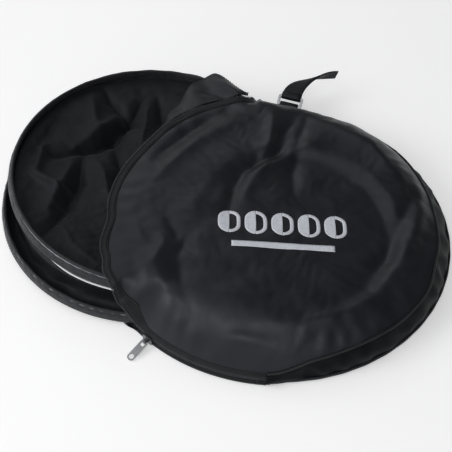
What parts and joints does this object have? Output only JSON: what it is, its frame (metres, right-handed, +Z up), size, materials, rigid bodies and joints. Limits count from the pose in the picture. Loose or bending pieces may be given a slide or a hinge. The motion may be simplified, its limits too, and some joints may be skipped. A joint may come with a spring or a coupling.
{
  "type": "collapsible reflector disc",
  "caption": "Sprung reflector disc folded into stacked loops, half out of a round zip carry bag with a wrist strap.",
  "frame": {"origin": "centre of the bag's back panel, on the surface it lies on", "axes": "+Z up through the bag's thickness; the folded disc comes out of the bag's mouth along -X"},
  "size_m": [0.4279, 0.3791, 0.0549],
  "materials": {
    "spring_steel": "cold-rolled spring strip",
    "binding": "woven polyester tape",
    "zip_coil": "nylon coil",
    "white_cloth": "thin coated cloth",
    "diffuser_cloth": "thin translucent cloth",
    "black_cloth": "thin nylon",
    "bag_cloth": "satin nylon",
    "zip_tape": "woven tape",
    "nickel": "dark nickel plate",
    "webbing": "flat woven webbing",
    "steel_ring": "bright nickel plate",
    "print": "screen print"
  },
  "bodies": {
    "bag": {"bag_back_panel": "bag_cloth", "bag_edge_binding": "binding", "bag_front_panel": "bag_cloth", "bag_gusset": "bag_cloth", "front_piping": "binding", "zip_tape_upper": "zip_tape", "zip_tape_lower": "zip_tape", "zip_coil_upper": "zip_coil", "zip_coil_lower": "zip_coil", "zip_bottom_stop": "nickel", "zip_top_stops": "nickel", "mouth_placket": "bag_cloth", "strap_anchor_tab": "webbing", "printed_mark": "print"},
    "disc": {"hoop_spring": "spring_steel", "hoop_ferrule": "spring_steel", "rim_binding": "binding", "cover_zip_coil": "zip_coil", "white_face": "white_cloth", "diffuser_panel": "diffuser_cloth", "black_face": "black_cloth"},
    "zip_slider": {"slider_body": "nickel", "slider_crown": "nickel"},
    "zip_pull": {"pull_tab": "nickel"},
    "ring": {"strap_ring": "steel_ring"},
    "strap": {"hand_strap": "webbing"}
  },
  "joints": [
    {"name": "disc_slide", "type": "slide", "parent": "bag", "child": "disc", "axis": [1, 0, 0], "range_m": [-0.175, 0.006]},
    {"name": "zip_travel", "type": "hinge", "parent": "bag", "child": "zip_slider", "pos_m": [0, 0, 0.0055], "axis": [0, 0, 1], "range_deg": [-0.8, 35]},
    {"name": "pull_swing", "type": "hinge", "parent": "zip_slider", "child": "zip_pull", "pos_m": [-0.06807, -0.15654, 0.0055], "axis": [-0.9171, 0.3987, 0], "range_deg": [-60, 100]},
    {"name": "ring_swing", "type": "hinge", "parent": "bag", "child": "ring", "pos_m": [-0.0355, 0.156, 0.018], "axis": [1, 0, 0], "range_deg": [-40, 50]},
    {"name": "strap_swing", "type": "hinge", "parent": "ring", "child": "strap", "pos_m": [-0.0355, 0.16395, 0.02223], "axis": [1, 0, 0], "range_deg": [-60, 60]}
  ]
}
